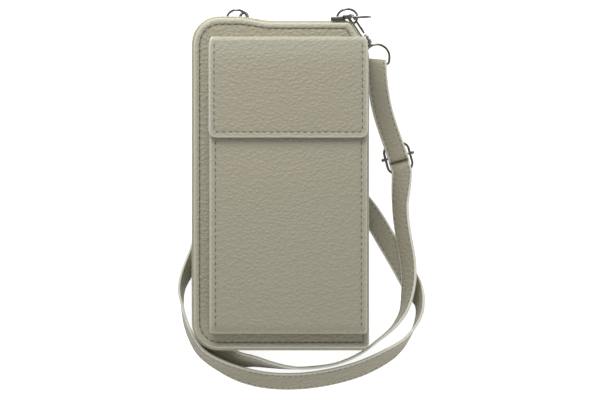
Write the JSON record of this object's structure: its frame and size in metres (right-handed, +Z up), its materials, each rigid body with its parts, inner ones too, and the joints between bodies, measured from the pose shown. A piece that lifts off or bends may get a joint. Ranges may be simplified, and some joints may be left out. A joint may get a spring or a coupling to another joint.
{
  "type": "phone wallet",
  "caption": "Zip-around wallet lying on its back, with a flap phone pocket on its cover, card slots inside and a clip-on shoulder strap.",
  "frame": {"origin": "middle of the bottom of the whole part's box, on the surface that it lies on", "axes": "+Z up, out of the cover; +Y towards the end with the two rings; +X towards the spine and the buckle"},
  "size_m": [0.1488, 0.2298, 0.0363],
  "materials": {
    "leather": "matte pebbled grain",
    "lining": "plain woven lining",
    "zip_tape": "woven tape",
    "zip_coil": "moulded coil teeth",
    "steel": "polished nickel plate",
    "magnet_cap": "satin nickel plate"
  },
  "bodies": {
    "case": {"back_panel": "leather", "back_lining": "lining", "spine": "leather", "back_zip_tape": "zip_tape", "back_zip_teeth": "zip_coil", "card_backing": "lining", "card_slot_lower": "leather", "card_slot_middle": "leather", "card_slot_upper": "leather", "coin_pocket": "lining", "left_tab": "leather", "right_tab": "leather", "left_swivel_ring": "steel", "right_swivel_ring": "steel", "shoulder_strap": "leather"},
    "cover": {"front_panel": "leather", "front_lining": "lining", "front_zip_tape": "zip_tape", "front_zip_teeth": "zip_coil", "phone_pocket": "leather", "snap_socket": "magnet_cap"},
    "flap_back": {"flap_root": "leather"},
    "flap": {"flap": "leather", "flap_lining": "lining", "snap_stud": "magnet_cap"},
    "slider": {"zip_slider": "steel"},
    "pull": {"zip_pull": "steel"},
    "left_ring": {"left_ring": "steel"},
    "right_ring": {"right_ring": "steel"},
    "left_hook": {"left_hook": "steel"},
    "right_hook": {"right_hook": "steel"},
    "left_gate": {"left_hook_gate": "steel"},
    "right_gate": {"right_hook_gate": "steel"},
    "buckle": {"strap_buckle": "steel"}
  },
  "joints": [
    {"name": "cover_hinge", "type": "hinge", "parent": "case", "child": "cover", "pos_m": [0.04075, 0.00821, 0.02165], "axis": [0, 1, 0], "range_deg": [0, 90]},
    {"name": "flap_root_hinge", "type": "hinge", "parent": "cover", "child": "flap_back", "pos_m": [-0.01185, 0.09671, 0.0243], "axis": [-1, 0, 0], "range_deg": [0, 85]},
    {"name": "flap_hinge", "type": "hinge", "parent": "flap_back", "child": "flap", "pos_m": [-0.01185, 0.09671, 0.0357], "axis": [-1, 0, 0], "range_deg": [0, 85]},
    {"name": "zip_slide", "type": "slide", "parent": "case", "child": "slider", "axis": [-1, 0, 0], "range_m": [0, 0.032]},
    {"name": "pull_swing", "type": "hinge", "parent": "slider", "child": "pull", "pos_m": [0.02875, 0.10931, 0.0154], "axis": [0, 0, 1], "range_deg": [0, 150]},
    {"name": "left_ring_swing", "type": "hinge", "parent": "case", "child": "left_ring", "pos_m": [-0.03855, 0.10321, 0.0029], "axis": [1, 0, 0], "range_deg": [-3, 3]},
    {"name": "right_ring_swing", "type": "hinge", "parent": "case", "child": "right_ring", "pos_m": [0.02765, 0.10441, 0.0038], "axis": [1, 0, 0], "range_deg": [-6, 8]},
    {"name": "left_hook_swivel", "type": "hinge", "parent": "case", "child": "left_hook", "pos_m": [-0.03445, 0.09662, 0.00347], "axis": [0, 0.999, 0.0436], "range_deg": [-6, 6]},
    {"name": "right_hook_swivel", "type": "hinge", "parent": "case", "child": "right_hook", "pos_m": [0.03774, 0.09748, 0.00377], "axis": [-0.5478, 0.8341, 0.0645], "range_deg": [-8, 8]},
    {"name": "left_gate_hinge", "type": "hinge", "parent": "left_hook", "child": "left_gate", "pos_m": [-0.03226, 0.0986, 0.00166], "axis": [0.6547, -0.033, 0.7551], "range_deg": [0, 8], "stiffness_Nm_per_rad": 0.002, "springref_deg": -11.46},
    {"name": "right_gate_hinge", "type": "hinge", "parent": "right_hook", "child": "right_gate", "pos_m": [0.03783, 0.1, 0.0014], "axis": [0.7396, 0.4467, 0.5035], "range_deg": [0, 8], "stiffness_Nm_per_rad": 0.002, "springref_deg": -11.46},
    {"name": "buckle_slide", "type": "slide", "parent": "case", "child": "buckle", "axis": [0.2599, -0.9656, 0], "range_m": [-0.001, 0.0002]}
  ]
}
